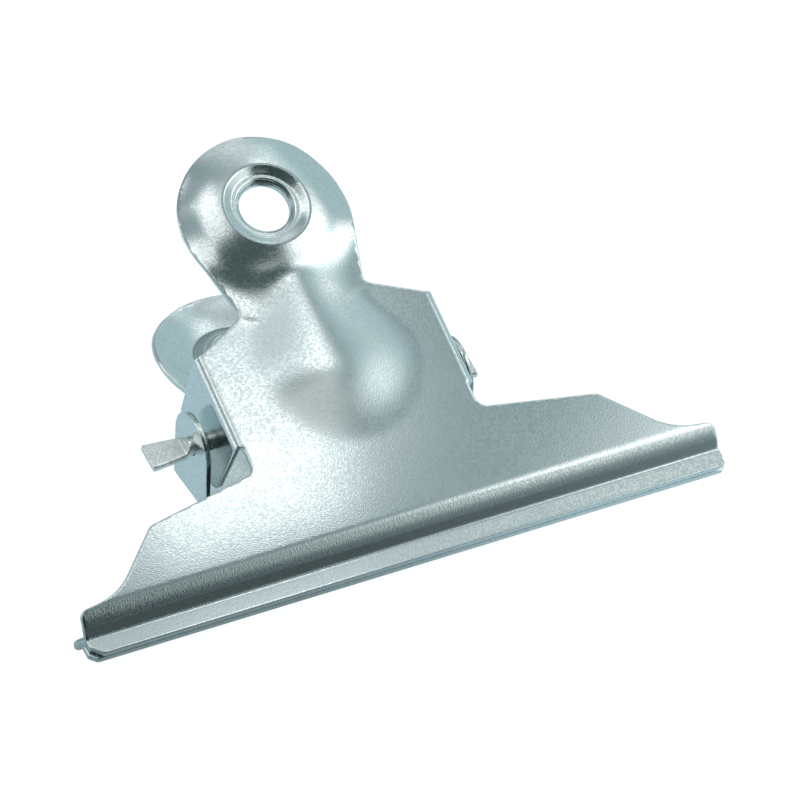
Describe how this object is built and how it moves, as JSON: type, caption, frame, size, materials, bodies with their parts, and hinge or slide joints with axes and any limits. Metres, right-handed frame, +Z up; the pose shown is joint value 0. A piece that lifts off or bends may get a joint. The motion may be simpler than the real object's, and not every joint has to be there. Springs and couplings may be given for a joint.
{
  "type": "bulldog clip",
  "caption": "Wide sprung bulldog clip: two plated pressed-steel jaws hinged on a pin, with long straight lips and rounded, domed handles that have hanging holes.",
  "frame": {"origin": "middle of the bounding box's underside, on the surface that the clip lies on", "axes": "+X along the mouth; +Y from the mouth to the handles; +Z up, away from the surface that the rear jaw lies on"},
  "size_m": [0.095, 0.0654, 0.0357],
  "materials": {
    "plated_steel": "bright zinc plating, satin with a fine sparkle",
    "pin_steel": "drawn wire, ends pressed flat and sheared",
    "spring_steel": "hard drawn spring wire"
  },
  "bodies": {
    "rear_jaw": {"rear_jaw": "plated_steel", "spring": "spring_steel"},
    "front_jaw": {"front_jaw": "plated_steel"},
    "pin": {"hinge_pin": "pin_steel"}
  },
  "joints": [
    {"name": "jaw_hinge", "type": "hinge", "parent": "rear_jaw", "child": "front_jaw", "pos_m": [0, -0.00544, 0.00962], "axis": [-1, 0, 0], "range_deg": [0, 50], "stiffness_Nm_per_rad": 0.5, "springref_deg": -31.51, "deforming": ["spring"]},
    {"name": "pin_spin", "type": "hinge", "parent": "rear_jaw", "child": "pin", "pos_m": [0, -0.00544, 0.00962], "axis": [1, 0, 0], "continuous": true}
  ]
}
